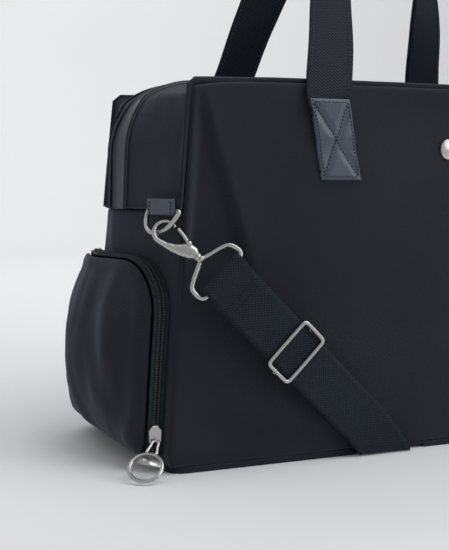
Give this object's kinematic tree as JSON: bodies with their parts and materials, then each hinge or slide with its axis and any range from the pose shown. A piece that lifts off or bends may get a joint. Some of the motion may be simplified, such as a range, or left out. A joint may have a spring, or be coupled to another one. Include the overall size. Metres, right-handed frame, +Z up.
{
  "type": "diaper bag",
  "caption": "Soft twill weekender changing bag with zipped top, bulging zipped end pockets, carry handles and a clip-on shoulder strap.",
  "frame": {"origin": "centre of the bottom of the bounding box, on the surface that the bag stands on", "axes": "+Z up, +X along the bag's length, front face with the badge towards -Y"},
  "size_m": [0.5732, 0.2454, 0.4845],
  "materials": {
    "twill": "dense matte twill",
    "webbing": "coarse woven webbing",
    "leather": "smooth semi-gloss leather",
    "coated_trim": "polyurethane-coated trim, satin",
    "zip": "coil zip on woven tape",
    "nickel": "satin nickel plated",
    "lining": "plain woven lining",
    "board": "fibre board"
  },
  "bodies": {
    "root": {"front_panel": "twill", "handle_patch_front_left": "leather", "handle_patch_front_right": "leather", "back_panel": "twill", "handle_patch_back_left": "leather", "handle_patch_back_right": "leather", "end_panel_left": "twill", "gusset_front_left": "twill", "end_lip_front_left": "coated_trim", "gusset_back_left": "twill", "end_lip_back_left": "coated_trim", "end_zip_left": "zip", "pocket_zip_body_left": "zip", "pocket_floor_left": "twill", "ring_tab_left": "leather", "swivel_loop_left": "nickel", "end_panel_right": "twill", "gusset_front_right": "twill", "end_lip_front_right": "coated_trim", "gusset_back_right": "twill", "end_lip_back_right": "coated_trim", "end_zip_right": "zip", "pocket_zip_body_right": "zip", "pocket_floor_right": "twill", "ring_tab_right": "leather", "swivel_loop_right": "nickel", "strap_webbing": "webbing", "base_panel": "twill", "base_board": "board", "lining": "lining", "front_badge": "nickel"},
    "handle_front": {"handle_front": "webbing"},
    "top_flap_front": {"top_flap_front": "twill", "top_lip_front": "coated_trim", "top_zip_front": "zip"},
    "handle_back": {"handle_back": "webbing"},
    "top_flap_back": {"top_flap_back": "twill", "top_lip_back": "coated_trim", "top_zip_back": "zip"},
    "pocket_flap_left": {"pocket_flap_left": "twill", "pocket_zip_flap_left": "zip"},
    "pocket_slider_left": {"pocket_slider_left": "nickel"},
    "pocket_puller_left": {"pocket_puller_left": "nickel"},
    "d_ring_left": {"d_ring_left": "nickel"},
    "snap_hook_left": {"snap_hook_left": "nickel", "gate_pin_left": "nickel"},
    "hook_gate_left": {"hook_gate_left": "nickel"},
    "main_slider_left": {"main_slider_left": "nickel"},
    "main_puller_left": {"main_puller_left": "nickel"},
    "pocket_flap_right": {"pocket_flap_right": "twill", "pocket_zip_flap_right": "zip"},
    "pocket_slider_right": {"pocket_slider_right": "nickel"},
    "pocket_puller_right": {"pocket_puller_right": "nickel"},
    "d_ring_right": {"d_ring_right": "nickel"},
    "snap_hook_right": {"snap_hook_right": "nickel", "gate_pin_right": "nickel"},
    "hook_gate_right": {"hook_gate_right": "nickel"},
    "main_slider_right": {"main_slider_right": "nickel"},
    "main_puller_right": {"main_puller_right": "nickel"},
    "strap_slider": {"strap_slider": "nickel"}
  },
  "joints": [
    {"name": "top_flap_front_lift", "type": "hinge", "parent": "root", "child": "top_flap_front", "pos_m": [0, -0.0965, 0.2885], "axis": [1, 0, 0], "range_deg": [0, 45]},
    {"name": "handle_front_swing", "type": "hinge", "parent": "root", "child": "handle_front", "pos_m": [0, -0.1046, 0.2815], "axis": [1, 0, 0], "range_deg": [0, 190]},
    {"name": "top_flap_back_lift", "type": "hinge", "parent": "root", "child": "top_flap_back", "pos_m": [0, 0.0965, 0.2885], "axis": [-1, 0, 0], "range_deg": [0, 45]},
    {"name": "handle_back_swing", "type": "hinge", "parent": "root", "child": "handle_back", "pos_m": [0, 0.1046, 0.2815], "axis": [-1, 0, 0], "range_deg": [0, 190]},
    {"name": "main_slider_left_slide", "type": "slide", "parent": "top_flap_front", "child": "main_slider_left", "axis": [-1, 0, 0], "range_m": [0, 0.12]},
    {"name": "main_puller_left_flip", "type": "hinge", "parent": "main_slider_left", "child": "main_puller_left", "pos_m": [-0.0095, 0, 0.298], "axis": [0, 1, 0], "range_deg": [0, 150]},
    {"name": "main_slider_right_slide", "type": "slide", "parent": "top_flap_front", "child": "main_slider_right", "axis": [1, 0, 0], "range_m": [0, 0.12]},
    {"name": "main_puller_right_flip", "type": "hinge", "parent": "main_slider_right", "child": "main_puller_right", "pos_m": [0.0095, 0, 0.298], "axis": [0, -1, 0], "range_deg": [0, 150]},
    {"name": "pocket_flap_left_open", "type": "hinge", "parent": "root", "child": "pocket_flap_left", "pos_m": [-0.253, 0, 0.011], "axis": [0, -1, 0], "range_deg": [0, 50]},
    {"name": "pocket_slider_left_slide", "type": "slide", "parent": "pocket_flap_left", "child": "pocket_slider_left", "axis": [0.0599, 0, 0.9982], "range_m": [0, 0.085]},
    {"name": "pocket_puller_left_swing", "type": "hinge", "parent": "pocket_slider_left", "child": "pocket_puller_left", "pos_m": [-0.246, -0.0932, 0.0263], "axis": [-0.8371, 0.5471, 0], "range_deg": [0, 85]},
    {"name": "d_ring_left_swing", "type": "hinge", "parent": "root", "child": "d_ring_left", "pos_m": [-0.234, -0.077, 0.194], "axis": [0.3159, -0.9488, 0], "range_deg": [-1, 1]},
    {"name": "snap_hook_left_swivel", "type": "hinge", "parent": "d_ring_left", "child": "snap_hook_left", "pos_m": [-0.23815, -0.08778, 0.18019], "axis": [0.6211, -0.5269, -0.5801], "range_deg": [-3, 0]},
    {"name": "hook_gate_left_open", "type": "hinge", "parent": "snap_hook_left", "child": "hook_gate_left", "pos_m": [-0.2224, -0.09924, 0.1704], "axis": [-0.4132, -0.8492, 0.3289], "range_deg": [0, 22], "stiffness_Nm_per_rad": 0.02},
    {"name": "pocket_flap_right_open", "type": "hinge", "parent": "root", "child": "pocket_flap_right", "pos_m": [0.253, 0, 0.011], "axis": [0, 1, 0], "range_deg": [0, 50]},
    {"name": "pocket_slider_right_slide", "type": "slide", "parent": "pocket_flap_right", "child": "pocket_slider_right", "axis": [-0.0599, 0, 0.9982], "range_m": [0, 0.085]},
    {"name": "pocket_puller_right_swing", "type": "hinge", "parent": "pocket_slider_right", "child": "pocket_puller_right", "pos_m": [0.246, 0.0932, 0.0263], "axis": [0.8371, -0.5471, 0], "range_deg": [0, 85]},
    {"name": "d_ring_right_swing", "type": "hinge", "parent": "root", "child": "d_ring_right", "pos_m": [0.234, 0.077, 0.194], "axis": [-0.3159, 0.9488, 0], "range_deg": [-1, 1]},
    {"name": "snap_hook_right_swivel", "type": "hinge", "parent": "d_ring_right", "child": "snap_hook_right", "pos_m": [0.23815, 0.08778, 0.18019], "axis": [-0.6211, 0.5269, -0.5801], "range_deg": [-3, 0]},
    {"name": "hook_gate_right_open", "type": "hinge", "parent": "snap_hook_right", "child": "hook_gate_right", "pos_m": [0.2224, 0.09924, 0.1704], "axis": [0.4132, 0.8492, 0.3289], "range_deg": [0, 22], "stiffness_Nm_per_rad": 0.02},
    {"name": "strap_slider_slide", "type": "slide", "parent": "root", "child": "strap_slider", "axis": [0.7182, 0.0573, -0.6935], "range_m": [0, 0.03]}
  ],
  "couplings": [
    {"joint": "top_flap_back_lift", "follows": "top_flap_front_lift", "ratio": 1},
    {"joint": "main_slider_left_slide", "follows": "top_flap_front_lift", "m_per_rad": 0.14642},
    {"joint": "main_slider_right_slide", "follows": "top_flap_front_lift", "m_per_rad": 0.14642}
  ]
}
